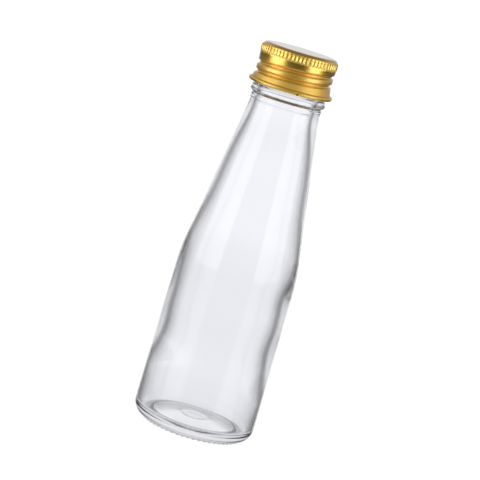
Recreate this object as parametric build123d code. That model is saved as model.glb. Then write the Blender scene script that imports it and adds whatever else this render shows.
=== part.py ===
from build123d import *
import os

# A small clear glass milk bottle with a one-piece aluminium screw cap and a sealing disc inside it.
# Millimetres. +Z runs up the bottle's axis; z = 0 is the surface that the bottle stands on.

# Heights
OVERALL_HEIGHT = 141.5
LIP_TOP = 140.0
CAP_HEIGHT = 14.6

# Bottle: base and body
STIPPLE_COUNT = 56
STIPPLE_HEIGHT = 0.35
STIPPLE_TIP_RADIUS = 0.35
STIPPLE_ROOT_RADIUS = 0.75
STIPPLE_RING_RADIUS = 18.0
BEARING_INNER_RADIUS = 16.6
PUSH_UP_HEIGHT = 2.3
HEEL_RADIUS = 4.6
BODY_RADIUS = 22.15
BAND_TOP = 15.0
BAND_BLEND = 300.0
SHOULDER_RADIUS = 21.7
SHOULDER_Z = 61.5
SHOULDER_BLEND = 66.0

# Bottle: neck, the faint collar above it and the ring under the cap
NECK_RADIUS = 12.8
NECK_Z = 120.3
NECK_BLEND = 1.0
COLLAR_RADIUS = 12.95
COLLAR_BOTTOM = 120.9
COLLAR_TOP = 122.7
COLLAR_BEVEL = 0.3
RING_NOTCH_RADIUS = 12.65
RING_NOTCH_Z = 123.0
RING_RADIUS = 13.85
RING_Z = 124.1
RING_ROUND = 0.5
RING_TOP_RADIUS = 13.25
RING_TOP_Z = 126.1
RING_TOP_ROUND = 0.3

# Bottle: threaded mouth
FINISH_RADIUS = 12.45
FINISH_BASE_Z = 126.6
LIP_ROUND = 0.9
BORE_RADIUS = 9.75
THREAD_PITCH = 3.175
THREAD_CREST_RADIUS = 13.4
THREAD_ROOT_RADIUS = 12.15
THREAD_ROOT_WIDTH = 1.5
THREAD_CREST_WIDTH = 0.5
THREAD_TURNS = 1.85
THREAD_START_Z = 130.45

# Bottle: inside wall, as (radius, z) from just above the floor up to the bore
FLOOR_EDGE_RADIUS = 18.2
FLOOR_EDGE_Z = 3.9
FLOOR_RISE = 1.7
INSIDE_WALL = [
    (19.45, 6.4),
    (19.35, 16.0),
    (18.4, 23.3),
    (17.45, 31.5),
    (17.75, 43.0),
    (18.35, 61.5),
    (16.7, 76.0),
    (13.4, 98.0),
    (BORE_RADIUS, 119.0),
]

# Cap: drawn from one sheet; levels are distances below its top
CAP_SHEET = 0.3
CAP_RADIUS = 14.0
CAP_CORNER = 2.1
CAP_NECKED_INSIDE = 13.45
KNURL_COUNT = 66
KNURL_TOP = 0.7
KNURL_BOTTOM = 3.8
KNURL_DEPTH = 0.22
KNURL_ROUND = 0.6
CAP_WAIST_LEVEL = 4.2
CAP_WAIST_RADIUS = 13.75
CAP_WAIST_BOTTOM = 4.6
SKIRT_RADIUS = 13.95
FLARE_TOP = 12.5
FLARE_BOTTOM = 13.0
FLARE_RADIUS = 14.1
CURL_RADIUS = 0.8
CURL_CENTRE_RADIUS = 14.5

# Cap: rolled thread, a groove outside and a ridge inside
GROOVE_ROOT_RADIUS = 13.1
GROOVE_ROOT_WIDTH = 0.4
GROOVE_MOUTH_RADIUS = 14.2
GROOVE_MOUTH_WIDTH = 2.0
RIDGE_ROOT_RADIUS = 13.8
RIDGE_ROOT_WIDTH = 2.3
RIDGE_CREST_WIDTH = 0.7
GROOVE_TURNS = 1.7
GROOVE_START_ANGLE = -215.0
GROOVE_LEVEL_AT_X_AXIS = 9.35

# Liner
LINER_RADIUS = 12.9
LINER_BEVEL = 1.0
LINER_PLAY = 0.02
LINER_TOP = OVERALL_HEIGHT - CAP_SHEET - LINER_PLAY
LINER_BOTTOM = LIP_TOP + LINER_PLAY

# The cavity's and the cap's cutting solids run this far past the openings that they cut
OVERRUN = 1.0


def below_top(distance):
    """The height of a level that is the given distance under the cap's top."""
    return OVERALL_HEIGHT - distance


def turned(lines):
    """The solid that a closed outline, drawn as (radius, z), makes when it turns about the axis."""
    return revolve(Plane.XZ * make_face(lines), Axis.Z)


def dome(edge_radius, edge_z, rise):
    """Half of a shallow dome's outline, from its top on the axis out to its edge."""
    sphere_radius = (edge_radius**2 + rise**2) / (2 * rise)
    return RadiusArc((0, edge_z + rise), (edge_radius, edge_z), sphere_radius)


def helical_bar(section, radius, turns, start_z, start_angle):
    """A bar of constant section, drawn as (radius, height), wound up the axis as a right-hand thread."""
    path = Helix(THREAD_PITCH, THREAD_PITCH * turns, radius)
    bar = sweep(Plane.XZ * section, path=path, is_frenet=True)
    return Pos(0, 0, start_z) * Rot(0, 0, start_angle) * bar


def trapezoid(root_radius, crest_radius, root_width, crest_width):
    """A thread's section, with its root and its crest at the given radii."""
    corners = [
        (root_radius, -root_width / 2),
        (crest_radius, -crest_width / 2),
        (crest_radius, crest_width / 2),
        (root_radius, root_width / 2),
    ]
    return make_face(Polyline(*corners, close=True))


def bottle_outside():
    """The blank that the glass would be if it had no cavity and no thread."""
    push_up = dome(BEARING_INNER_RADIUS, STIPPLE_HEIGHT, PUSH_UP_HEIGHT)
    heel_start = (BODY_RADIUS - HEEL_RADIUS, STIPPLE_HEIGHT)
    heel_end = (BODY_RADIUS, STIPPLE_HEIGHT + HEEL_RADIUS)
    side = FilletPolyline(
        heel_end,
        (BODY_RADIUS, BAND_TOP),
        (SHOULDER_RADIUS, SHOULDER_Z),
        (NECK_RADIUS, NECK_Z),
        (NECK_RADIUS, COLLAR_BOTTOM),
        radius=[BAND_BLEND, SHOULDER_BLEND, NECK_BLEND],
    )
    notch = (RING_NOTCH_RADIUS, RING_NOTCH_Z)
    collar = Polyline(
        (NECK_RADIUS, COLLAR_BOTTOM),
        (COLLAR_RADIUS, COLLAR_BOTTOM + COLLAR_BEVEL),
        (COLLAR_RADIUS, COLLAR_TOP - COLLAR_BEVEL),
        notch,
    )
    finish_base = (FINISH_RADIUS, FINISH_BASE_Z)
    ring = FilletPolyline(
        notch,
        (RING_RADIUS, RING_Z),
        (RING_TOP_RADIUS, RING_TOP_Z),
        finish_base,
        radius=[RING_ROUND, RING_TOP_ROUND],
    )
    lip_start = (FINISH_RADIUS, LIP_TOP - LIP_ROUND)
    lip_end = (FINISH_RADIUS - LIP_ROUND, LIP_TOP)
    lines = [
        push_up,
        Line(push_up @ 1, heel_start),
        RadiusArc(heel_start, heel_end, -HEEL_RADIUS),
        side,
        collar,
        ring,
        Line(finish_base, lip_start),
        RadiusArc(lip_start, lip_end, -LIP_ROUND),
        Polyline(lip_end, (0, LIP_TOP), push_up @ 0),
    ]
    return turned(lines)


def bottle_cavity():
    """The space inside the glass, from its domed floor to just above the lip."""
    floor = dome(FLOOR_EDGE_RADIUS, FLOOR_EDGE_Z, FLOOR_RISE)
    bore_top = (BORE_RADIUS, LIP_TOP - LIP_ROUND)
    mouth_radius = BORE_RADIUS + LIP_ROUND
    above = LIP_TOP + OVERRUN
    lines = [
        floor,
        Line(floor @ 1, INSIDE_WALL[0]),
        Spline(*INSIDE_WALL, tangents=[(0, 1), (0, 1)]),
        Line(INSIDE_WALL[-1], bore_top),
        RadiusArc(bore_top, (mouth_radius, LIP_TOP), LIP_ROUND),
        Polyline((mouth_radius, LIP_TOP), (mouth_radius, above), (0, above), floor @ 0),
    ]
    return turned(lines)


def stipples():
    """The ring of small raised dots that the bottle stands on."""
    dot = Pos(0, 0, STIPPLE_HEIGHT) * Cone(STIPPLE_TIP_RADIUS, STIPPLE_ROOT_RADIUS, 2 * STIPPLE_HEIGHT)
    return [place * dot for place in PolarLocations(STIPPLE_RING_RADIUS, STIPPLE_COUNT)]


def make_bottle():
    """The glass: a blown body with its neck ring, threaded mouth, pushed-up floor and stippled foot."""
    section = trapezoid(THREAD_ROOT_RADIUS, THREAD_CREST_RADIUS, THREAD_ROOT_WIDTH, THREAD_CREST_WIDTH)
    thread = helical_bar(section, FINISH_RADIUS, THREAD_TURNS, THREAD_START_Z, 0)
    return bottle_outside() - bottle_cavity() + thread + stipples()


def cap_outside():
    """The cap's outer form: round top corner, straight knurled band, narrow waist, skirt and flare."""
    corner_start = (CAP_RADIUS - CAP_CORNER, below_top(0))
    corner_end = (CAP_RADIUS, below_top(CAP_CORNER))
    band_end = (CAP_RADIUS, below_top(KNURL_BOTTOM))
    waist = (CAP_WAIST_RADIUS, below_top(CAP_WAIST_LEVEL))
    skirt = [
        (SKIRT_RADIUS, below_top(CAP_WAIST_BOTTOM)),
        (SKIRT_RADIUS, below_top(FLARE_TOP)),
        (FLARE_RADIUS, below_top(FLARE_BOTTOM)),
        (FLARE_RADIUS, below_top(CAP_HEIGHT - CURL_RADIUS)),
        (CURL_CENTRE_RADIUS, below_top(CAP_HEIGHT - CURL_RADIUS)),
        (CURL_CENTRE_RADIUS, below_top(CAP_HEIGHT)),
        (0, below_top(CAP_HEIGHT)),
        (0, below_top(0)),
    ]
    lines = [
        Line((0, below_top(0)), corner_start),
        RadiusArc(corner_start, corner_end, CAP_CORNER),
        Line(corner_end, band_end),
        ThreePointArc(band_end, waist, skirt[0]),
        Polyline(*skirt),
    ]
    return turned(lines)


def cap_inside():
    """The space inside the cap: necked behind the knurls, wider in the skirt, open below."""
    corner = CAP_CORNER - CAP_SHEET
    corner_start = (CAP_NECKED_INSIDE - corner, below_top(CAP_SHEET))
    corner_end = (CAP_NECKED_INSIDE, below_top(CAP_SHEET + corner))
    skirt = [
        corner_end,
        (CAP_NECKED_INSIDE, below_top(CAP_WAIST_LEVEL)),
        (SKIRT_RADIUS - CAP_SHEET, below_top(CAP_WAIST_BOTTOM)),
        (SKIRT_RADIUS - CAP_SHEET, below_top(FLARE_TOP)),
        (FLARE_RADIUS - CAP_SHEET, below_top(FLARE_BOTTOM)),
        (FLARE_RADIUS - CAP_SHEET, below_top(CAP_HEIGHT + OVERRUN)),
        (0, below_top(CAP_HEIGHT + OVERRUN)),
        (0, below_top(CAP_SHEET)),
        corner_start,
    ]
    return turned([RadiusArc(corner_start, corner_end, corner), Polyline(*skirt)])


def knurl_flutes():
    """The upright flutes that are pressed into the band under the cap's top."""
    middle = below_top((KNURL_TOP + KNURL_BOTTOM) / 2)
    flute = Pos(0, 0, middle) * Cylinder(KNURL_ROUND, KNURL_BOTTOM - KNURL_TOP)
    ring_radius = CAP_RADIUS + KNURL_ROUND - KNURL_DEPTH
    return [place * flute for place in PolarLocations(ring_radius, KNURL_COUNT)]


def rolled_bar(section):
    """A bar wound along the cap's rolled thread."""
    start_z = below_top(GROOVE_LEVEL_AT_X_AXIS) + THREAD_PITCH * GROOVE_START_ANGLE / 360
    return helical_bar(section, SKIRT_RADIUS, GROOVE_TURNS, start_z, GROOVE_START_ANGLE)


def make_cap():
    """The aluminium shell, with its knurled band, rolled thread and curled lower edge."""
    ridge_crest_radius = GROOVE_ROOT_RADIUS - CAP_SHEET
    ridge = trapezoid(RIDGE_ROOT_RADIUS, ridge_crest_radius, RIDGE_ROOT_WIDTH, RIDGE_CREST_WIDTH)
    groove = trapezoid(GROOVE_MOUTH_RADIUS, GROOVE_ROOT_RADIUS, GROOVE_MOUTH_WIDTH, GROOVE_ROOT_WIDTH)
    curl = Pos(0, 0, below_top(CAP_HEIGHT - CURL_RADIUS)) * Torus(CURL_CENTRE_RADIUS, CURL_RADIUS)
    shell = cap_outside() + curl - cap_inside()
    return shell + rolled_bar(ridge) - rolled_bar(groove) - knurl_flutes()


def make_liner():
    """The soft disc that seals on the glass lip, bevelled to sit in the cap's round corner."""
    corners = [
        (0, LINER_BOTTOM),
        (LINER_RADIUS, LINER_BOTTOM),
        (LINER_RADIUS, LINER_TOP - LINER_BEVEL),
        (LINER_RADIUS - LINER_BEVEL, LINER_TOP),
        (0, LINER_TOP),
    ]
    return turned(Polyline(*corners, close=True))


os.makedirs("parts", exist_ok=True)
export_step(make_bottle(), "parts/bottle.step")
export_step(make_cap(), "parts/cap.step")
export_step(make_liner(), "parts/liner.step")
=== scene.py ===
import math

import bpy
import numpy as np
from mathutils import Matrix, Vector


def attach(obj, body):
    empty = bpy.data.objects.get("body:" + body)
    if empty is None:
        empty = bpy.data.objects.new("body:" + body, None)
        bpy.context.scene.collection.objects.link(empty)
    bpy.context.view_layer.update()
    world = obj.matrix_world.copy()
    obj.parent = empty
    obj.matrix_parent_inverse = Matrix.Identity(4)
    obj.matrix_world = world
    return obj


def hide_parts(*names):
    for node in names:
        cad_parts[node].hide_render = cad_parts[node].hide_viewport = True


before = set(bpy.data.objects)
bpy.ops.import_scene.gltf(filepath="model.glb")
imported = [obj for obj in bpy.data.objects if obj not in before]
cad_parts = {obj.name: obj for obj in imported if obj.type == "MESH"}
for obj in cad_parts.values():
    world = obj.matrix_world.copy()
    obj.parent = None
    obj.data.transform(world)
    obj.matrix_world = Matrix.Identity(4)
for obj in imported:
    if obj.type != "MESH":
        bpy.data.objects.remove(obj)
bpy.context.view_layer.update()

# The object's lengths are in millimetres up to the last step of each mesh, which turns them into metres.
MM = 0.001

# ---------------------------------------------------------------- sizes of the bottle

# Foot: a ring of stipples, the bearing surface between them, and the push-up inside the ring. The
# push-up's points are close together round the mould mark, as far as MARK_EDGE, and in the cove, and
# the heel's are from its foot up to STIPPLED_HEEL_END, in degrees round its arc.
BOTTLE_SEGMENTS = 448
STIPPLE_COUNT = 56
STIPPLE_HEIGHT = 0.35
STIPPLE_RING_RADIUS = 18.0
STIPPLE_TIP_RADIUS = 0.2
STIPPLE_ROOT_RADIUS = 0.66
STIPPLED_BELOW = 2.0
BEARING_INNER_RADIUS = 16.6
STIPPLED_FROM_RADIUS = 17.1
PUSH_UP_HEIGHT = 2.3
PUSH_UP_SAG = 0.3
UNDERSIDE_TOP = 3.0
FLAT_START = 7.0
COVE_START = 14.2
COVE_POINTS = 10
MARK_RADIUS = 5.2
MARK_HEIGHT = 0.045
MARK_WIDTH = 0.8
MARK_EDGE = 6.6
BODY_RADIUS = 22.15
HEEL_RADIUS = 4.6
HEEL_CENTRE = (BODY_RADIUS - HEEL_RADIUS, STIPPLE_HEIGHT + HEEL_RADIUS)
STIPPLED_HEEL_END = -76

# Mouth and its thread
LIP_TOP = 140.0
LIP_ROUND = 0.9
BORE_RADIUS = 9.75
FINISH_RADIUS = 12.45
THREADED_BOTTOM = 128.9
THREADED_TOP = 137.6
THREAD_PITCH = 3.175
THREAD_START_Z = 130.45
THREAD_TURNS = 1.85
THREAD_HEIGHT = 0.79
THREAD_CREST_HALF_WIDTH = 0.25
THREAD_ROOT_HALF_WIDTH = 0.75
THREAD_FADE = math.radians(14)

# Outside wall from the heel to under the thread: (radius, z, how round the corner is)
NECK_RADIUS = 12.8
COLLAR_RADIUS = 12.95
OUTSIDE_WALL = [
    (BODY_RADIUS, HEEL_CENTRE[1], 0),
    (BODY_RADIUS, 15.0, 300.0),
    (21.7, 61.5, 66.0),
    (NECK_RADIUS, 120.3, 1.0),
    (NECK_RADIUS, 120.9, 0.1),
    (COLLAR_RADIUS, 121.2, 0.2),
    (COLLAR_RADIUS, 122.4, 0.3),
    (12.65, 123.0, 0.25),
    (13.85, 124.1, 0.5),
    (13.25, 126.1, 0.3),
    (FINISH_RADIUS, 126.6, 0.25),
    (FINISH_RADIUS, THREADED_BOTTOM, 0),
]

# The two mould seams
SEAM_HEIGHT = 0.04
SEAM_HALF_WIDTH = 0.3
SEAM_BOTTOM = 1.5
SEAM_TOP = 126.0

# Inside floor; the inside wall as (radius, z) of a smooth curve; and the corner between them as
# (radius, z, how round the corner is)
FLOOR_EDGE_RADIUS = 18.2
FLOOR_EDGE_Z = 3.9
FLOOR_RISE = 1.0
FLOOR_TOP = 5.9
INSIDE_WALL = [
    (19.45, 6.4),
    (19.4, 16.0),
    (18.45, 23.3),
    (17.45, 31.5),
    (17.75, 41.0),
    (17.75, 52.0),
    (18.45, 62.5),
    (16.7, 76.0),
    (14.9, 86.0),
    (13.4, 98.0),
    (11.3, 109.5),
    (BORE_RADIUS, 119.0),
]
INSIDE_WALL_POINTS = 50
FLOOR_CORNER = [
    (*INSIDE_WALL[0], 0),
    (19.4, 4.25, 1.2),
    (FLOOR_EDGE_RADIUS - 1.5, 4.2, 0),
]
INNER_FLOOR_RADIUS = FLOOR_EDGE_RADIUS - 1.6

# Unevenness of the blown inside: waves round the wall as (waves in a turn, twist, start), the heights
# over which they come and go, and places where the wall leans to one side as (z, reach, depth)
WAVE_DEPTH = 0.05
WAVES = ((2, 9, 0), (3, -14, 1.3))
WAVES_COME = (6, 20)
WAVES_GO = (105, 122)
LEANS = ((53, 6, 0.3), (21, 5, 0.3), (119, 6, 0.25))

# ---------------------------------------------------------------- sizes of the cap and the liner

CAP_SEGMENTS = 660
CAP_TOP = 141.5
CAP_SHEET = 0.3
CAP_RADIUS = 14.0
CAP_CORNER = 2.1
CAP_NECKED_INSIDE = 13.45
WAIST_RADIUS = 13.8
FLARE_RADIUS = 14.3
FLARE_LEVEL = 12.95
WAIST_LEVEL = 10.6

# The cap's wall, outside going down and inside going up: (radius, level below the top, corner's round)
CAP_OUTSIDE = [
    (CAP_RADIUS, CAP_CORNER, 0),
    (CAP_RADIUS, 4.1, 2.5),
    (WAIST_RADIUS, 6.4, 2.5),
    (WAIST_RADIUS, WAIST_LEVEL, 3.0),
    (FLARE_RADIUS, FLARE_LEVEL, 0.5),
    (FLARE_RADIUS, 13.15, 0),
]
CAP_INSIDE = [
    (FLARE_RADIUS - CAP_SHEET, 14.1, 0),
    (FLARE_RADIUS - CAP_SHEET, FLARE_LEVEL, 0.5),
    (WAIST_RADIUS - CAP_SHEET, WAIST_LEVEL, 2.0),
    (CAP_NECKED_INSIDE, CAP_CORNER, 0),
]

# Knurl round the top, from level to level
KNURL_COUNT = 66
KNURL_TOP = 0.9
KNURL_BOTTOM = 3.75
KNURL_INNER_RADIUS = 12.3
KNURL_DEPTH = 0.24
KNURL_FADE = 0.7
KNURL_RIDGE_SHARE = 0.5

# Curl at the foot of the cap, an arc between two angles in degrees, and the small nick in it
CURL_RADIUS = 0.8
CURL_CENTRE = (14.5, CAP_TOP - 13.8)
CURL_START = 120
CURL_END = -150
NICK_ANGLE = math.radians(270 + 11)
NICK_Z = CAP_TOP - 14.1
NICK_SIZE = 0.28
NICK_DEPTH = 0.3

# Rolled thread
GROOVE_DEPTH = 0.85
GROOVE_HALF_WIDTH = 0.95
GROOVE_FLOOR_HALF_WIDTH = 0.15
GROOVE_TURNS = 1.7
GROOVE_START = math.radians(-215)
GROOVE_LEVEL_AT_X_AXIS = 9.35
GROOVE_FADE = math.radians(25)
GROOVE_TOP = 4.3
GROOVE_BOTTOM = 13
GROOVE_INNER_RADIUS = 13

# Liner, with the mark that the bottle's lip has pressed into it. It deepens between the two inside
# radii and fades between the two outside ones.
LINER_SEGMENTS = 192
LINER_RADIUS = 12.9
LINER_BEVEL = 1.0
LINER_BOTTOM = 140.02
LINER_TOP = 141.18
LINER_EDGE_ROUND = 0.15
LIP_MARK_DEPTH = 0.12
LIP_MARK_INSIDE = (9.9, 10.7)
LIP_MARK_OUTSIDE = (11.5, 12.35)
LIP_MARK_ROWS_FROM = 9.2

# ---------------------------------------------------------------- looks

GLASS_IOR = 1.52
MIRROR_ROUGHNESS = 0.03
UNDERSIDE_ROUGHNESS = 0.1

# Gold: its colour goes by a faint grain, and it is duller low down than near the top, between two
# levels below the top
GOLD_STOPS = [(0.3, (0.92, 0.555, 0.045)), (0.7, (0.96, 0.595, 0.06))]
GOLD_EDGE_TINT = (0.5, 0.54, 0.72, 1)
# NICK_SHADE_COLOUR is painted shade: the dark colour put into the dent of the nick in the curl
NICK_SHADE_COLOUR = (0.10, 0.06, 0.02, 1)
LACQUER_IOR = 1.85
SATIN_LEVELS = (8, 4)
SATIN_ROUGHNESS = (0.46, 0.27)
LACQUER_ROUGHNESS_SHARE = 0.6
GOLD_GRAIN_SCALE = 350.0
GOLD_GRAIN_DETAIL = 4.0

# Foam: its colour goes by its fine cells, and the bump's height is in metres
FOAM_STOPS = [(0.0, (0.80, 0.80, 0.78)), (0.6, (0.88, 0.88, 0.86))]
FOAM_ROUGHNESS = 0.55
FOAM_CELL_SCALE = 2500.0
FOAM_BUMP = 0.25
FOAM_BUMP_HEIGHT = 0.0001

# ---------------------------------------------------------------- studio, in metres and degrees

# The lens and the sensor are in millimetres.
CAMERA_PLACE = (-0.00192, -0.79, 0.1995)
CAMERA_PITCH = math.radians(9.28)
CAMERA_ROLL = math.radians(16.4)
CAMERA_LENS = 168.3
SENSOR_WIDTH = 36.0
CAMERA_SEES_TO = 100.0
LIGHT_BOUNCES = 32

# How bright the white surroundings are; 1 is the picture's own white
WHITE = 1.09

# Floor: FLOOR_WHITE is its brightness near the object and far away, and it changes between the two
# distances of FLOOR_WHITENS. The base gathers light in its middle. RING_SHADE is (distance past the
# bearing ring, brightness), as shares of the shaded radius and of the gathered light. The shaded radius
# is the body's and BASE_SHADE_MARGIN, in millimetres.
FLOOR_HALF_SIZE = 12.0
FLOOR_MATTE = 0.25
FLOOR_WHITENS = (0.03, 0.65)
FLOOR_WHITE = (0.93, 1.06)
GATHERED_LIGHT = 1.1
BASE_SHADE_MARGIN = 1.0
RING_SHADE = ((-0.2, 1.0), (-0.04, 0.40), (0.02, 0.36), (0.07, 1 / GATHERED_LIGHT))

# Spots of shade round the feet of the stipples: how dark they are, the cosines between which they fade
# round the ring, and the margins in millimetres within which they fade inwards and outwards
CONTACT_SHADE = 0.65
SPOT_SHARPNESS = (-0.1, 0.7)
SPOT_INNER_MARGINS = (0.8, 0.3)
SPOT_OUTER_MARGIN = 0.2

# What the glass shows behind it above the floor: (elevation, brightness)
SKY = ((17, WHITE), (40, 0.5))

# What mirrors in the surfaces: (elevation, brightness) of the room, a lit patch of table under each
# softbox, by azimuth in radians and by elevation, and the wall behind, by the direction's y and elevation
ROOM = ((-90, 0.9), (-50, 0.8), (-30, 0.06), (-10, 0.06), (3, 0.3), (12, 0.5), (30, 0.5), (50, 0.2))
PATCH_BRIGHTNESS = 0.5
PATCH_SIDES = ((0.50, 0.66), (1.25, 1.4))
PATCH_ELEVATIONS = ((-34, -25), (-12, -9))
WALL_BRIGHTNESS = 0.9
WALL_SIDE = (0.84, 0.92)
WALL_ELEVATIONS = (-6, 24)

# Softboxes: (azimuth, width, brightness), built from panels: (end of the name, bottom, top, share)
SOFTBOX_DISTANCE = 1.3
SOFTBOXES = ((-63, 1.4, 1.75), (63, 1.35, 1.75), (125, 0.6, 0.3), (235, 0.6, 0.3))
GLASS_PANELS = (("_low", -0.35, 0.0, 0.25), ("", 0.0, 0.42, 0.92), ("_top", 0.42, 1.9, 0.55))
CAP_PANELS = (("", 0.0, 0.2, 1.0), ("_top", 0.2, 1.9, 0.3))

# Two more lights for the cap alone, (azimuth, width), a little nearer
CAP_LIGHT_DISTANCE = 1.2
CAP_LIGHTS = ((-62, 0.95), (57, 0.75))
CAP_LIGHT_BOTTOM = -0.3
CAP_LIGHT_TOP = 0.17
CAP_LIGHT_BRIGHTNESS = 1.8


# ---------------------------------------------------------------- outlines and meshes

# The fewest steps that an arc, and an arc in a rounded corner, are drawn with
ARC_STEPS = 3
CORNER_STEPS = 6


def line(start, end, step):
    """Points from start up to, but not including, end."""
    start, end = np.array(start, float), np.array(end, float)
    count = max(1, round(np.linalg.norm(end - start) / step))
    share = np.arange(count)[:, None] / count
    return start + (end - start) * share


def arc(centre, radius, start, end, step):
    """Points of an arc from the start angle up to, but not including, the end angle, in degrees."""
    start, end = math.radians(start), math.radians(end)
    count = max(ARC_STEPS, round(abs(end - start) * radius / step))
    angle = start + (end - start) * np.arange(count) / count
    return np.array(centre) + radius * np.stack([np.cos(angle), np.sin(angle)], axis=1)


def rounded(corners, step):
    """Points along straight runs whose inner corners, given as (r, z, radius), are rounded by arcs."""
    points = [np.array(c[:2], float) for c in corners]
    rounds = [c[2] for c in corners[1:]]
    pieces = []
    run_start = points[0]
    for before, corner, after, radius in zip(points, points[1:], points[2:], rounds):
        back = (before - corner) / np.linalg.norm(before - corner)
        ahead = (after - corner) / np.linalg.norm(after - corner)
        half_angle = math.acos(np.clip(np.dot(back, ahead), -1, 1)) / 2
        reach = radius / math.tan(half_angle)
        arc_start, arc_end = corner + back * reach, corner + ahead * reach
        middle = (back + ahead) / np.linalg.norm(back + ahead)
        centre = corner + middle * radius / math.sin(half_angle)
        first = math.atan2(*(arc_start - centre)[::-1])
        turn = math.atan2(*(arc_end - centre)[::-1]) - first
        turn = (turn + math.pi) % (2 * math.pi) - math.pi
        arc_step = min(step, radius * abs(turn) / CORNER_STEPS)
        pieces.append(line(run_start, arc_start, step))
        pieces.append(arc(centre, radius, math.degrees(first), math.degrees(first + turn), arc_step))
        run_start = arc_end
    pieces.append(line(run_start, points[-1], step))
    return np.concatenate(pieces)


def dome(edge_radius, edge_z, rise, step):
    """A shallow dome's half outline, from its top on the axis to its edge."""
    sphere = (edge_radius**2 + rise**2) / (2 * rise)
    edge_angle = math.degrees(math.asin(edge_radius / sphere))
    return arc((0, edge_z + rise - sphere), sphere, 90, 90 - edge_angle, step)


def spline_radius(points, height):
    """The radius at each height on the smoothest curve through (radius, height) points.
    The curve is upright at both ends."""
    radius, knot = np.array(points).T
    gap = np.diff(knot)
    slope = np.diff(radius) / gap
    count = len(knot)
    matrix = np.zeros((count, count))
    right = np.zeros(count)
    matrix[0, :2] = 2 * gap[0], gap[0]
    right[0] = 6 * slope[0]
    matrix[-1, -2:] = gap[-1], 2 * gap[-1]
    right[-1] = -6 * slope[-1]
    for i in range(1, count - 1):
        matrix[i, i - 1:i + 2] = gap[i - 1], 2 * (gap[i - 1] + gap[i]), gap[i]
        right[i] = 6 * (slope[i] - slope[i - 1])
    bend = np.linalg.solve(matrix, right)
    i = np.clip(np.searchsorted(knot, height) - 1, 0, count - 2)
    low, high = height - knot[i], knot[i + 1] - height
    cubic = (bend[i] * high**3 + bend[i + 1] * low**3) / (6 * gap[i])
    chord_low = radius[i] / gap[i] - bend[i] * gap[i] / 6
    chord_high = radius[i + 1] / gap[i] - bend[i + 1] * gap[i] / 6
    return cubic + chord_low * high + chord_high * low


def smoothstep(low, high, value):
    """0 below low, 1 above high, and a smooth rise between them."""
    share = np.clip((value - low) / (high - low), 0, 1)
    return share * share * (3 - 2 * share)


def bump(value, centre, reach):
    """1 at the centre, fading on both sides."""
    return np.exp(-((value - centre) / reach) ** 2)


def across(angle, count):
    """How far each angle is from the nearest of count marks round the axis, which start at angle 0."""
    spacing = 2 * math.pi / count
    return (angle + spacing / 2) % spacing - spacing / 2


def helix_offset(angle, z, level_at_zero, start, turns, fade):
    """For each point, its distance up or down from the nearest pass of a right-hand thread, and the
    thread's strength there, which fades in and out at its two ends."""
    end = start + turns * 2 * math.pi
    best = np.full(np.broadcast(angle, z).shape, np.inf)
    strength = np.zeros(best.shape)
    for lap in range(-2, 3):
        along = angle + lap * 2 * math.pi
        offset = np.abs(z - level_at_zero - THREAD_PITCH * along / (2 * math.pi))
        here = smoothstep(start, start + fade, along) * (1 - smoothstep(end - fade, end, along))
        nearer = (offset < best) & (here > 0)
        best = np.where(nearer, offset, best)
        strength = np.where(nearer, here, strength)
    return best, strength


def around_axis(radius, z, angle):
    """The x, y and z of points given by radius, height and angle."""
    return radius * np.cos(angle), radius * np.sin(angle), z


def lathe(name, outline, segments, relief, slots, slot_of_row=lambda row: 0):
    """Turns an outline, which starts and ends on the axis, into a mesh. relief gives every vertex its
    place from its radius, height and angle; slot_of_row gives each row of faces its material slot."""
    rows = outline[1:-1]
    angle = np.arange(segments) * 2 * math.pi / segments
    radius = np.repeat(rows[:, 0:1], segments, axis=1)
    height = np.repeat(rows[:, 1:2], segments, axis=1)
    turn = np.repeat(angle[None, :], len(rows), axis=0)
    x, y, z = relief(radius, height, turn)
    ring_vertices = np.stack([x, y, z], axis=2).reshape(-1, 3)
    first_pole = [0, 0, z[0].mean() + outline[0, 1] - outline[1, 1]]
    last_pole = [0, 0, z[-1].mean() + outline[-1, 1] - outline[-2, 1]]
    vertices = np.concatenate([ring_vertices, [first_pole, last_pole]]) * MM
    here = np.arange(segments)
    after = (here + 1) % segments
    first, last = len(ring_vertices), len(ring_vertices) + 1
    faces = [(first, b, a) for a, b in zip(here, after)]
    face_slots = [slot_of_row(0)] * segments
    for row in range(len(rows) - 1):
        low, high = row * segments, (row + 1) * segments
        faces += [(low + a, low + b, high + b, high + a) for a, b in zip(here, after)]
        face_slots += [slot_of_row(row)] * segments
    low = (len(rows) - 1) * segments
    faces += [(low + a, low + b, last) for a, b in zip(here, after)]
    face_slots += [slot_of_row(len(rows))] * segments
    mesh = bpy.data.meshes.new(name)
    mesh.from_pydata(vertices.tolist(), [], [tuple(int(i) for i in f) for f in faces])
    for material in slots:
        mesh.materials.append(material)
    mesh.polygons.foreach_set("material_index", face_slots)
    mesh.polygons.foreach_set("use_smooth", [True] * len(faces))
    mesh.update()
    piece = bpy.data.objects.new(name, mesh)
    bpy.context.scene.collection.objects.link(piece)
    return piece


# ---------------------------------------------------------------- bottle

def underside_outline():
    """The push-up: nearly flat in the middle, with a round mould mark, then a cove down to the ring."""
    marked = np.arange(0, MARK_EDGE, step=0.6)
    flat = np.arange(FLAT_START, COVE_START, step=1.2)
    curved = np.linspace(COVE_START, BEARING_INNER_RADIUS, COVE_POINTS)[:-1]
    radius = np.concatenate([marked, flat, curved])
    crown = 1 - PUSH_UP_SAG * (radius / BEARING_INNER_RADIUS) ** 2
    cove = 1 - smoothstep(COVE_START, BEARING_INNER_RADIUS, radius)
    mark = MARK_HEIGHT * bump(radius, MARK_RADIUS, MARK_WIDTH)
    return np.stack([radius, STIPPLE_HEIGHT + PUSH_UP_HEIGHT * crown * cove + mark], axis=1)


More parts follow.
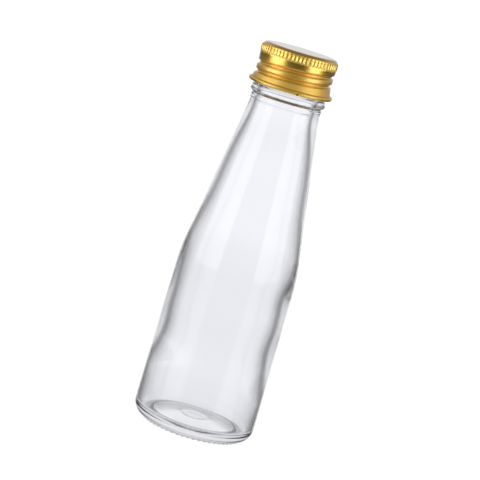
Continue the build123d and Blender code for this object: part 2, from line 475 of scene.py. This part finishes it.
def bottle_outside_outline():
    """From the middle of the push-up, over the heel, up the body and the ring to the top of the lip."""
    bearing_start = (BEARING_INNER_RADIUS, STIPPLE_HEIGHT)
    stippled_start = (STIPPLED_FROM_RADIUS, STIPPLE_HEIGHT)
    thread_start = (FINISH_RADIUS, THREADED_BOTTOM)
    thread_end = (FINISH_RADIUS, THREADED_TOP)
    lip_centre = (FINISH_RADIUS - LIP_ROUND, LIP_TOP - LIP_ROUND)
    return np.concatenate([
        underside_outline(),
        line(bearing_start, stippled_start, step=0.25),
        line(stippled_start, (HEEL_CENTRE[0], STIPPLE_HEIGHT), step=0.14),
        arc(HEEL_CENTRE, HEEL_RADIUS, -90, STIPPLED_HEEL_END, step=0.14),
        arc(HEEL_CENTRE, HEEL_RADIUS, STIPPLED_HEEL_END, 0, step=0.5),
        rounded(OUTSIDE_WALL, step=2.2),
        line(thread_start, thread_end, step=0.22),
        line(thread_end, (FINISH_RADIUS, LIP_TOP - LIP_ROUND), step=0.5),
        arc(lip_centre, LIP_ROUND, 0, 90, step=0.24),
    ])


def bottle_inside_outline():
    """From the top of the lip, down the bore and the uneven blown wall, to the middle of the floor."""
    mouth = BORE_RADIUS + LIP_ROUND
    wall_bottom, wall_top = INSIDE_WALL[0][1], INSIDE_WALL[-1][1]
    heights = np.linspace(wall_top, wall_bottom, INSIDE_WALL_POINTS)
    wall = np.stack([spline_radius(INSIDE_WALL, heights), heights], axis=1)
    floor = dome(FLOOR_EDGE_RADIUS, FLOOR_EDGE_Z, FLOOR_RISE, step=1.1)[::-1]
    return np.concatenate([
        line((FINISH_RADIUS - LIP_ROUND, LIP_TOP), (mouth, LIP_TOP), step=0.3),
        arc((mouth, LIP_TOP - LIP_ROUND), LIP_ROUND, 90, 180, step=0.24),
        line((BORE_RADIUS, LIP_TOP - LIP_ROUND), (BORE_RADIUS, wall_top), step=2.0),
        wall[:-1],
        rounded(FLOOR_CORNER, step=0.4),
        floor[floor[:, 0] < INNER_FLOOR_RADIUS],
    ])


def thread_relief(z, angle):
    """How far the bottle's thread stands out."""
    offset, strength = helix_offset(angle, z, THREAD_START_Z, 0, THREAD_TURNS, THREAD_FADE)
    height = THREAD_HEIGHT * (1 - smoothstep(THREAD_CREST_HALF_WIDTH, THREAD_ROOT_HALF_WIDTH, offset))
    return height * strength


def seam_relief(radius, z, angle):
    """The two mould seams. The wall beside them is drawn in, so that they stay inside the CAD box."""
    seamed = (z > SEAM_BOTTOM) * (z < SEAM_TOP)
    distance = np.abs(across(angle, 2)) * radius
    seam = SEAM_HEIGHT * (1 - smoothstep(0, SEAM_HALF_WIDTH, distance)) * seamed
    return seam - SEAM_HEIGHT * seamed


def stippled_height(radius, z, angle):
    """The height of the foot's surface, drawn down to the ground at each stipple."""
    away = np.hypot(radius - STIPPLE_RING_RADIUS, across(angle, STIPPLE_COUNT) * STIPPLE_RING_RADIUS)
    dot = 1 - smoothstep(STIPPLE_TIP_RADIUS, STIPPLE_ROOT_RADIUS, away)
    return z * (1 - dot)


def wave_relief(z, angle):
    """The slow waves of the blown inside wall."""
    wave = WAVE_DEPTH * sum(np.sin(count * angle + z / twist + start) for count, twist, start in WAVES)
    return wave * smoothstep(*WAVES_COME, z) * (1 - smoothstep(*WAVES_GO, z))


def make_bottle(glass_outer, glass_inner, glass_underside, glass_floor):
    outside = bottle_outside_outline()
    outline = np.concatenate([outside, bottle_inside_outline()])
    outside_rows = len(outside) - 1
    row_is_outside = (np.arange(len(outline) - 2) < outside_rows)[:, None]
    slots = [glass_outer, glass_inner, glass_underside, glass_floor]

    def relief(radius, z, angle):
        outer = radius + thread_relief(z, angle) + seam_relief(radius, z, angle)
        inner = radius + wave_relief(z, angle)
        x, y, _ = around_axis(np.where(row_is_outside, outer, inner), z, angle)
        lean = sum(depth * bump(z, height, reach) for height, reach, depth in LEANS)
        near_ground = row_is_outside & (z < STIPPLED_BELOW)
        final_z = np.where(near_ground, stippled_height(radius, z, angle), z)
        return x - np.where(row_is_outside, 0, lean), y, final_z

    def slot_of_row(row):
        radius, z = outline[row + 1]
        if row >= outside_rows:
            return slots.index(glass_floor if z < FLOOR_TOP else glass_inner)
        is_underside = radius < BEARING_INNER_RADIUS and z < UNDERSIDE_TOP
        return slots.index(glass_underside if is_underside else glass_outer)

    piece = lathe("bottle_glass", outline, BOTTLE_SEGMENTS, relief, slots, slot_of_row)
    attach(piece, "bottle")
    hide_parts("bottle")
    return piece


# ---------------------------------------------------------------- cap

def below_top(distance):
    """The height of a level that is the given distance under the cap's top."""
    return CAP_TOP - distance


def cap_wall(corners, step):
    """Points along part of the cap's wall, whose corners are given by level below the top."""
    return rounded([(radius, below_top(level), corner) for radius, level, corner in corners], step)


def cap_outline():
    """From the middle of the top, down the outside to the curl, and up the inside to the axis."""
    corner_centre = (CAP_RADIUS - CAP_CORNER, below_top(CAP_CORNER))
    inner_corner = CAP_CORNER - CAP_SHEET
    inner_centre = (CAP_NECKED_INSIDE - inner_corner, below_top(CAP_CORNER))
    inner_middle = (0, below_top(CAP_SHEET))
    return np.concatenate([
        line((0, CAP_TOP), (CAP_RADIUS - CAP_CORNER, CAP_TOP), step=1.7),
        arc(corner_centre, CAP_CORNER, 90, 0, step=0.22),
        cap_wall(CAP_OUTSIDE, step=0.2),
        arc(CURL_CENTRE, CURL_RADIUS, CURL_START, CURL_END, step=0.22),
        cap_wall(CAP_INSIDE, step=0.8),
        arc(inner_centre, inner_corner, 0, 90, step=0.5),
        line((inner_centre[0], below_top(CAP_SHEET)), inner_middle, step=3.0),
        [inner_middle],
    ])


def knurl_relief(radius, z, angle):
    """How deep the gaps between the knurl's ridges are."""
    below = below_top(z)
    share = across(angle, KNURL_COUNT) / (2 * math.pi / KNURL_COUNT)
    ridge = np.cos(math.pi * np.clip(share / KNURL_RIDGE_SHARE, -0.5, 0.5)) ** 2
    band = smoothstep(KNURL_TOP, KNURL_TOP + KNURL_FADE, below)
    band = band * (1 - smoothstep(KNURL_BOTTOM - KNURL_FADE, KNURL_BOTTOM, below))
    return KNURL_DEPTH * (1 - ridge) * band * (radius > KNURL_INNER_RADIUS)


def groove_relief(radius, z, angle):
    """How deep the rolled thread is."""
    below = below_top(z)
    level = below_top(GROOVE_LEVEL_AT_X_AXIS)
    offset, strength = helix_offset(angle, z, level, GROOVE_START, GROOVE_TURNS, GROOVE_FADE)
    depth = GROOVE_DEPTH * (1 - smoothstep(GROOVE_FLOOR_HALF_WIDTH, GROOVE_HALF_WIDTH, offset)) * strength
    return depth * (below > GROOVE_TOP) * (below < GROOVE_BOTTOM) * (radius > GROOVE_INNER_RADIUS)


def nick_relief(radius, z, angle):
    """How deep the nick in the curl is."""
    around = (angle - NICK_ANGLE) * radius
    return NICK_DEPTH * np.exp(-(around**2 + (z - NICK_Z) ** 2) / NICK_SIZE**2)


def make_cap(cap_metal):
    """The outline is turned backwards, so that its faces look outwards."""
    outline = cap_outline()
    outer_rows = int(np.argmin(outline[:, 1]))
    row_is_outer = (np.arange(len(outline) - 2) < outer_rows)[::-1, None]

    def relief(radius, z, angle):
        knurl = knurl_relief(radius, z, angle) * row_is_outer
        slope = np.clip((CAP_CORNER - below_top(z)) / CAP_CORNER, 0, 1)
        inwards = knurl * np.sqrt(1 - slope**2)
        nick = nick_relief(radius, z, angle) * row_is_outer
        final = radius - inwards - groove_relief(radius, z, angle) - nick
        x, y, _ = around_axis(final, z, angle)
        return x, y, z - knurl * slope

    piece = lathe("screw_cap", outline[::-1], CAP_SEGMENTS, relief, [cap_metal])
    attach(piece, "cap")
    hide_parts("cap")
    return piece


# ---------------------------------------------------------------- liner

def liner_outline():
    """From the middle of the underside, round the edge and over the bevel to the middle of the top."""
    edge = LINER_RADIUS - LINER_EDGE_ROUND
    edge_centre = (edge, LINER_BOTTOM + LINER_EDGE_ROUND)
    marked_start = (LIP_MARK_ROWS_FROM, LINER_BOTTOM)
    side = [
        (LINER_RADIUS, LINER_BOTTOM + LINER_EDGE_ROUND, 0),
        (LINER_RADIUS, LINER_TOP - LINER_BEVEL, 0.1),
        (LINER_RADIUS - LINER_BEVEL, LINER_TOP, 0.3),
        (0, LINER_TOP, 0),
    ]
    return np.concatenate([
        line((0, LINER_BOTTOM), marked_start, step=0.8),
        line(marked_start, (edge, LINER_BOTTOM), step=0.15),
        arc(edge_centre, LINER_EDGE_ROUND, -90, 0, step=0.08),
        rounded(side, step=0.8),
        [(0, LINER_TOP)],
    ])


def make_liner(foam):
    def relief(radius, z, angle):
        under = z < LINER_BOTTOM + LINER_EDGE_ROUND
        mark = smoothstep(*LIP_MARK_INSIDE, radius) * (1 - smoothstep(*LIP_MARK_OUTSIDE, radius))
        return around_axis(radius, z + LIP_MARK_DEPTH * mark * under, angle)

    piece = lathe("cap_liner", liner_outline(), LINER_SEGMENTS, relief, [foam])
    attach(piece, "liner")
    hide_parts("liner")
    return piece


# ---------------------------------------------------------------- material nodes

def new_material(name):
    material = bpy.data.materials.new(name)
    material.use_nodes = True
    nodes = material.node_tree.nodes
    nodes.clear()
    output = nodes.new("ShaderNodeOutputMaterial")
    return material, nodes, material.node_tree.links, output


def colour_ramp(nodes, links, value, stops, interpolation="LINEAR"):
    """The colour at value on a ramp through (position, colour) stops."""
    ramp = nodes.new("ShaderNodeValToRGB")
    elements = ramp.color_ramp.elements
    ramp.color_ramp.interpolation = interpolation
    while len(elements) < len(stops):
        elements.new(1.0)
    for element, (position, colour) in zip(elements, stops):
        element.position = position
        element.color = (*colour, 1)
    links.new(value, ramp.inputs["Fac"])
    return ramp.outputs["Color"]


def math_node(nodes, links, operation, *values):
    """The result of a calculation with numbers or other nodes' outputs."""
    node = nodes.new("ShaderNodeMath")
    node.operation = operation
    for socket, value in zip(node.inputs, values):
        if isinstance(value, (int, float)):
            socket.default_value = value
        else:
            links.new(value, socket)
    return node.outputs["Value"]


def slope_node(nodes, links, value, span, ends=(0.0, 1.0), interpolation="SMOOTHSTEP"):
    """Goes from the first to the second of ends while value crosses span."""
    node = nodes.new("ShaderNodeMapRange")
    node.interpolation_type = interpolation
    node.inputs["From Min"].default_value, node.inputs["From Max"].default_value = span
    node.inputs["To Min"].default_value, node.inputs["To Max"].default_value = ends
    links.new(value, node.inputs["Value"])
    return node.outputs["Result"]


def band_mask(nodes, links, value, rise, fall):
    """1 between the two (low, high) slopes, 0 outside them."""
    up = slope_node(nodes, links, value, rise)
    down = slope_node(nodes, links, value, fall, (1.0, 0.0))
    return math_node(nodes, links, "MULTIPLY", up, down)


def split_vector(nodes, links, vector):
    """The x, y and z of a vector."""
    split = nodes.new("ShaderNodeSeparateXYZ")
    links.new(vector, split.inputs["Vector"])
    return split.outputs["X"], split.outputs["Y"], split.outputs["Z"]


def grey(value):
    return (value, value, value)


def grey_stops(stops):
    return [(position, grey(value)) for position, value in stops]


# ---------------------------------------------------------------- glass

def glass_material(name, through_stops, mirror_stops, roughness=0.0):
    """Clear glass whose colour through it, and whose mirror colour, go by how far the surface turns away.
    The outer and inner walls use this to paint shade.
    """
    material, nodes, links, output = new_material(name)
    refraction = nodes.new("ShaderNodeBsdfRefraction")
    refraction.inputs["IOR"].default_value = GLASS_IOR
    refraction.inputs["Roughness"].default_value = roughness
    mirror = nodes.new("ShaderNodeBsdfGlossy")
    mirror.inputs["Roughness"].default_value = max(roughness, MIRROR_ROUGHNESS)
    facing = nodes.new("ShaderNodeLayerWeight")
    facing.inputs["Blend"].default_value = 0.5
    for stops, shader in ((through_stops, refraction), (mirror_stops, mirror)):
        links.new(colour_ramp(nodes, links, facing.outputs["Facing"], stops), shader.inputs["Color"])
    fresnel = nodes.new("ShaderNodeFresnel")
    fresnel.inputs["IOR"].default_value = GLASS_IOR
    mix = nodes.new("ShaderNodeMixShader")
    links.new(fresnel.outputs["Fac"], mix.inputs["Fac"])
    links.new(refraction.outputs["BSDF"], mix.inputs[1])
    links.new(mirror.outputs["BSDF"], mix.inputs[2])
    links.new(mix.outputs["Shader"], output.inputs["Surface"])
    return material


def outer_glass():
    """A faint blue-grey colour through the glass, with painted shade that darkens it most where the surface
    is half turned away.
    """
    tint_with_painted_shade = [
        (0.0, (0.885, 0.889, 0.912)),
        (0.10, (0.885, 0.889, 0.912)),
        (0.30, (0.84, 0.843, 0.863)),
        (0.45, (0.82, 0.823, 0.843)),
        (0.70, (0.93, 0.933, 0.95)),
    ]
    mirror = grey_stops([(0.0, 0.97), (1.0, 0.97)])
    return glass_material("glass_outer", tint_with_painted_shade, mirror)


def base_glass(name, roughness=0.0):
    """Untinted glass for the underside and the inside floor."""
    clear = grey_stops([(0.0, 1.0), (1.0, 1.0)])
    mirror = grey_stops([(0.0, 0.98), (1.0, 0.98)])
    return glass_material(name, clear, mirror, roughness)


def inner_glass():
    """Painted shade just beyond the edge of the hollow: the colour through the wall and its mirror colour
    darken there, standing in for the wall's inside mirroring the sides of the room.
    """
    tint_with_painted_shade = grey_stops([(0.0, 1.0), (0.50, 1.0), (0.70, 0.86), (0.85, 0.7), (1.0, 0.6)])
    mirror = grey_stops([
        (0.0, 0.97),
        (0.22, 0.97),
        (0.243, 0.80),
        (0.262, 0.63),
        (0.28, 0.45),
        (0.305, 0.43),
        (0.325, 0.65),
        (0.345, 0.95),
    ])
    return glass_material("glass_inner", tint_with_painted_shade, mirror)


# ---------------------------------------------------------------- gold and foam

def nick_shade_mask(nodes, links, position):
    """1 at the nick in the curl, where shade is painted into the dent and the lacquer coat is taken off, 0
    elsewhere.
    """
    curl_reach = math.sqrt(CURL_RADIUS**2 - (NICK_Z - CURL_CENTRE[1]) ** 2)
    radius = CURL_CENTRE[0] + curl_reach - NICK_DEPTH
    nick = Vector((radius * math.cos(NICK_ANGLE), radius * math.sin(NICK_ANGLE), NICK_Z)) * MM
    away = nodes.new("ShaderNodeVectorMath")
    away.operation = "DISTANCE"
    links.new(position, away.inputs[0])
    away.inputs[1].default_value = nick
    span = (NICK_SIZE * MM, 2 * NICK_SIZE * MM)
    return slope_node(nodes, links, away.outputs["Value"], span, (1.0, 0.0))


def gold_material():
    """Gold metal under a clear lacquer, with a faint grain, and painted shade in the dent of the nick,
    where the coat is left off.
    """
    material, nodes, links, output = new_material("gold_lacquer")
    shader = nodes.new("ShaderNodeBsdfPrincipled")
    links.new(shader.outputs["BSDF"], output.inputs["Surface"])
    shader.inputs["Metallic"].default_value = 1.0
    shader.inputs["Specular Tint"].default_value = GOLD_EDGE_TINT
    shader.inputs["Coat IOR"].default_value = LACQUER_IOR
    position = nodes.new("ShaderNodeTexCoord").outputs["Object"]
    height = split_vector(nodes, links, position)[2]
    levels = [below_top(level) * MM for level in SATIN_LEVELS]
    satin = slope_node(nodes, links, height, levels, SATIN_ROUGHNESS, "LINEAR")
    links.new(satin, shader.inputs["Roughness"])
    lacquer = math_node(nodes, links, "MULTIPLY", satin, LACQUER_ROUGHNESS_SHARE)
    links.new(lacquer, shader.inputs["Coat Roughness"])
    grain = nodes.new("ShaderNodeTexNoise")
    grain.inputs["Scale"].default_value = GOLD_GRAIN_SCALE
    grain.inputs["Detail"].default_value = GOLD_GRAIN_DETAIL
    links.new(position, grain.inputs["Vector"])
    gold = colour_ramp(nodes, links, grain.outputs["Fac"], GOLD_STOPS)
    # Painted shade at the nick: the colour darkens there and the coat is taken off
    nick_shade = nick_shade_mask(nodes, links, position)
    colour = nodes.new("ShaderNodeMixRGB")
    colour.inputs["Color2"].default_value = NICK_SHADE_COLOUR
    links.new(nick_shade, colour.inputs["Fac"])
    links.new(gold, colour.inputs["Color1"])
    links.new(colour.outputs["Color"], shader.inputs["Base Color"])
    links.new(math_node(nodes, links, "SUBTRACT", 1.0, nick_shade), shader.inputs["Coat Weight"])
    return material


def foam_material():
    """Off-white foam with fine cells."""
    material, nodes, links, output = new_material("liner_foam")
    shader = nodes.new("ShaderNodeBsdfPrincipled")
    links.new(shader.outputs["BSDF"], output.inputs["Surface"])
    shader.inputs["Roughness"].default_value = FOAM_ROUGHNESS
    coords = nodes.new("ShaderNodeTexCoord")
    cells = nodes.new("ShaderNodeTexVoronoi")
    cells.inputs["Scale"].default_value = FOAM_CELL_SCALE
    links.new(coords.outputs["Object"], cells.inputs["Vector"])
    colour = colour_ramp(nodes, links, cells.outputs["Distance"], FOAM_STOPS)
    links.new(colour, shader.inputs["Base Color"])
    relief = nodes.new("ShaderNodeBump")
    relief.inputs["Strength"].default_value = FOAM_BUMP
    relief.inputs["Distance"].default_value = FOAM_BUMP_HEIGHT
    links.new(cells.outputs["Distance"], relief.inputs["Height"])
    links.new(relief.outputs["Normal"], shader.inputs["Normal"])
    return material


# ---------------------------------------------------------------- floor

def contact_spots(nodes, links, position, distance):
    """1 on the floor round the foot of each stipple, 0 elsewhere."""
    x, y, _ = split_vector(nodes, links, position)
    angle = math_node(nodes, links, "ARCTAN2", y, x)
    turns = math_node(nodes, links, "COSINE", math_node(nodes, links, "MULTIPLY", angle, STIPPLE_COUNT))
    far = STIPPLE_RING_RADIUS + STIPPLE_ROOT_RADIUS
    inner = [(STIPPLE_RING_RADIUS - margin) * MM for margin in SPOT_INNER_MARGINS]
    outer = [(far + margin) * MM for margin in (-SPOT_OUTER_MARGIN, SPOT_OUTER_MARGIN)]
    ring = band_mask(nodes, links, distance, inner, outer)
    around = slope_node(nodes, links, turns, SPOT_SHARPNESS)
    return math_node(nodes, links, "MULTIPLY", around, ring)


def base_light(nodes, links, position, distance):
    """The floor's brightness under the base: the gathered light less the ring's and the stipples' shade."""
    under_reach = (BODY_RADIUS + BASE_SHADE_MARGIN) * MM
    reach = math_node(nodes, links, "DIVIDE", distance, under_reach)
    ring = BEARING_INNER_RADIUS * MM / under_reach
    stops = grey_stops([(ring + past, value) for past, value in RING_SHADE])
    under = colour_ramp(nodes, links, reach, stops, "EASE")
    gathered = math_node(nodes, links, "MULTIPLY", under, GATHERED_LIGHT)
    touched = contact_spots(nodes, links, position, distance)
    shaded = math_node(nodes, links, "MULTIPLY_ADD", touched, -CONTACT_SHADE, 1.0)
    return math_node(nodes, links, "MULTIPLY", gathered, shaded)


def floor_material():
    """White, a little less so near the object, with the light and shade that the base throws on it."""
    material, nodes, links, output = new_material("floor_white")
    glow = nodes.new("ShaderNodeEmission")
    position = nodes.new("ShaderNodeTexCoord").outputs["Object"]
    length = nodes.new("ShaderNodeVectorMath")
    length.operation = "LENGTH"
    links.new(position, length.inputs[0])
    distance = length.outputs["Value"]
    level = slope_node(nodes, links, distance, FLOOR_WHITENS, FLOOR_WHITE)
    under = base_light(nodes, links, position, distance)
    links.new(math_node(nodes, links, "MULTIPLY", under, level), glow.inputs["Strength"])
    matte = nodes.new("ShaderNodeBsdfDiffuse")
    matte.inputs["Color"].default_value = (*grey(FLOOR_MATTE), 1)
    both = nodes.new("ShaderNodeAddShader")
    links.new(glow.outputs["Emission"], both.inputs[0])
    links.new(matte.outputs["BSDF"], both.inputs[1])
    links.new(both.outputs["Shader"], output.inputs["Surface"])
    return material


def make_floor():
    half = FLOOR_HALF_SIZE
    corners = [(-half, -half, 0), (half, -half, 0), (half, half, 0), (-half, half, 0)]
    mesh = bpy.data.meshes.new("floor")
    mesh.from_pydata(corners, [], [(0, 1, 2, 3)])
    mesh.materials.append(floor_material())
    floor = bpy.data.objects.new("floor", mesh)
    bpy.context.scene.collection.objects.link(floor)
    floor.visible_glossy = False
    return floor


# ---------------------------------------------------------------- surroundings

def sine_place(elevation):
    """Where an elevation in degrees falls on a ramp from straight down, 0, to straight up, 1."""
    return (math.sin(math.radians(elevation)) + 1) / 2


def by_elevation(stops):
    """Ramp stops from (elevation, brightness) pairs."""
    return grey_stops([(sine_place(elevation), value) for elevation, value in stops])


def softbox_patches(nodes, links, x, y, height):
    """The lit table under the softbox on either side."""
    sideways = math_node(nodes, links, "ABSOLUTE", x)
    forwards = math_node(nodes, links, "MULTIPLY", y, -1.0)
    azimuth = math_node(nodes, links, "ARCTAN2", sideways, forwards)
    side = band_mask(nodes, links, azimuth, *PATCH_SIDES)
    rise, fall = [[sine_place(elevation) for elevation in pair] for pair in PATCH_ELEVATIONS]
    low = band_mask(nodes, links, height, rise, fall)
    both = math_node(nodes, links, "MULTIPLY", side, low)
    return math_node(nodes, links, "MULTIPLY", both, PATCH_BRIGHTNESS)


def back_wall(nodes, links, y, height):
    """The pale wall behind the object, which fades upwards."""
    behind = slope_node(nodes, links, y, WALL_SIDE)
    elevations = [sine_place(elevation) for elevation in WALL_ELEVATIONS]
    level = slope_node(nodes, links, height, elevations, (1.0, 0.0))
    both = math_node(nodes, links, "MULTIPLY", behind, level)
    return math_node(nodes, links, "MULTIPLY", both, WALL_BRIGHTNESS)


def make_world():
    """Plain white for the camera, and a white that fades upwards for what is seen through the glass. What
    mirrors in the surfaces is a dim room with a white table, its lit patches and a pale wall behind."""
    world = bpy.data.worlds.new("studio")
    bpy.context.scene.world = world
    world.use_nodes = True
    nodes, links = world.node_tree.nodes, world.node_tree.links
    nodes.clear()
    output = nodes.new("ShaderNodeOutputWorld")
    coords = nodes.new("ShaderNodeTexCoord")
    x, y, z = split_vector(nodes, links, coords.outputs["Generated"])
    height = math_node(nodes, links, "MULTIPLY_ADD", z, 0.5, 0.5)

    through = nodes.new("ShaderNodeBackground")
    links.new(colour_ramp(nodes, links, height, by_elevation(SKY), "EASE"), through.inputs["Color"])

    room = colour_ramp(nodes, links, height, by_elevation(ROOM))
    patches = softbox_patches(nodes, links, x, y, height)
    wall = back_wall(nodes, links, y, height)
    glow = math_node(nodes, links, "ADD", math_node(nodes, links, "ADD", room, patches), wall)
    mirrored = nodes.new("ShaderNodeBackground")
    links.new(glow, mirrored.inputs["Color"])

    white = nodes.new("ShaderNodeBackground")
    white.inputs["Color"].default_value = (*grey(WHITE), 1)
    path = nodes.new("ShaderNodeLightPath")
    for_glass = nodes.new("ShaderNodeMixShader")
    links.new(path.outputs["Is Transmission Ray"], for_glass.inputs["Fac"])
    links.new(mirrored.outputs["Background"], for_glass.inputs[1])
    links.new(through.outputs["Background"], for_glass.inputs[2])
    for_camera = nodes.new("ShaderNodeMixShader")
    links.new(path.outputs["Is Camera Ray"], for_camera.inputs["Fac"])
    links.new(for_glass.outputs["Shader"], for_camera.inputs[1])
    links.new(white.outputs["Background"], for_camera.inputs[2])
    links.new(for_camera.outputs["Shader"], output.inputs["Surface"])


# ---------------------------------------------------------------- lights and camera

def softbox(name, azimuth, distance, width, bottom, top, radiance, lit):
    """An upright lit panel that faces the object and lights only the group lit. Its azimuth is in
    degrees from the front."""
    data = bpy.data.lights.new(name, "AREA")
    data.shape = "RECTANGLE"
    height = top - bottom
    data.size = width
    data.size_y = height
    data.energy = radiance * math.pi * width * height
    light = bpy.data.objects.new(name, data)
    turn = math.radians(azimuth)
    light.location = (distance * math.sin(turn), -distance * math.cos(turn), (top + bottom) / 2)
    light.rotation_euler = (math.radians(90), 0, turn)
    light.visible_camera = False
    light.visible_transmission = False
    light.light_linking.receiver_collection = lit
    bpy.context.scene.collection.objects.link(light)


def softbox_panels(name, azimuth, width, radiance, panels, lit):
    """One softbox as panels of different brightness, one above the other."""
    for ending, bottom, top, share in panels:
        softbox(name + ending, azimuth, SOFTBOX_DISTANCE, width, bottom, top, radiance * share, lit)


def light_group(name, objects):
    """The only objects that a group of softboxes lights."""
    group = bpy.data.collections.new(name)
    for lit in objects:
        group.objects.link(lit)
    return group


def make_lights(cap, others):
    """Tall softboxes for the glass and the floor. The bright metal has its own, lower ones."""
    for_glass = light_group("lit_glass", others)
    for_cap = light_group("lit_cap", [cap])
    for azimuth, width, radiance in SOFTBOXES:
        softbox_panels(f"softbox_{azimuth % 360}", azimuth, width, radiance, GLASS_PANELS, for_glass)
        softbox_panels(f"cap_box_{azimuth % 360}", azimuth, width, radiance, CAP_PANELS, for_cap)
    for azimuth, width in CAP_LIGHTS:
        name = f"cap_light_{azimuth % 360}"
        span = (CAP_LIGHT_BOTTOM, CAP_LIGHT_TOP)
        softbox(name, azimuth, CAP_LIGHT_DISTANCE, width, *span, CAP_LIGHT_BRIGHTNESS, for_cap)


def make_camera():
    data = bpy.data.cameras.new("camera")
    data.lens = CAMERA_LENS
    data.sensor_width = SENSOR_WIDTH
    data.clip_end = CAMERA_SEES_TO
    camera = bpy.data.objects.new("camera", data)
    bpy.context.scene.collection.objects.link(camera)
    look = Matrix.Rotation(math.pi / 2 - CAMERA_PITCH, 4, "X") @ Matrix.Rotation(CAMERA_ROLL, 4, "Z")
    camera.matrix_world = Matrix.Translation(CAMERA_PLACE) @ look
    bpy.context.scene.camera = camera


# ---------------------------------------------------------------- the scene

make_camera()
scene = bpy.context.scene
scene.view_settings.view_transform = "Standard"
scene.cycles.max_bounces = LIGHT_BOUNCES
scene.cycles.glossy_bounces = LIGHT_BOUNCES
scene.cycles.transmission_bounces = LIGHT_BOUNCES
make_world()
floor = make_floor()

bottle = make_bottle(
    outer_glass(),
    inner_glass(),
    base_glass("glass_underside", UNDERSIDE_ROUGHNESS),
    base_glass("glass_floor"),
)
cap = make_cap(gold_material())
liner = make_liner(foam_material())
make_lights(cap, [bottle, liner, floor])
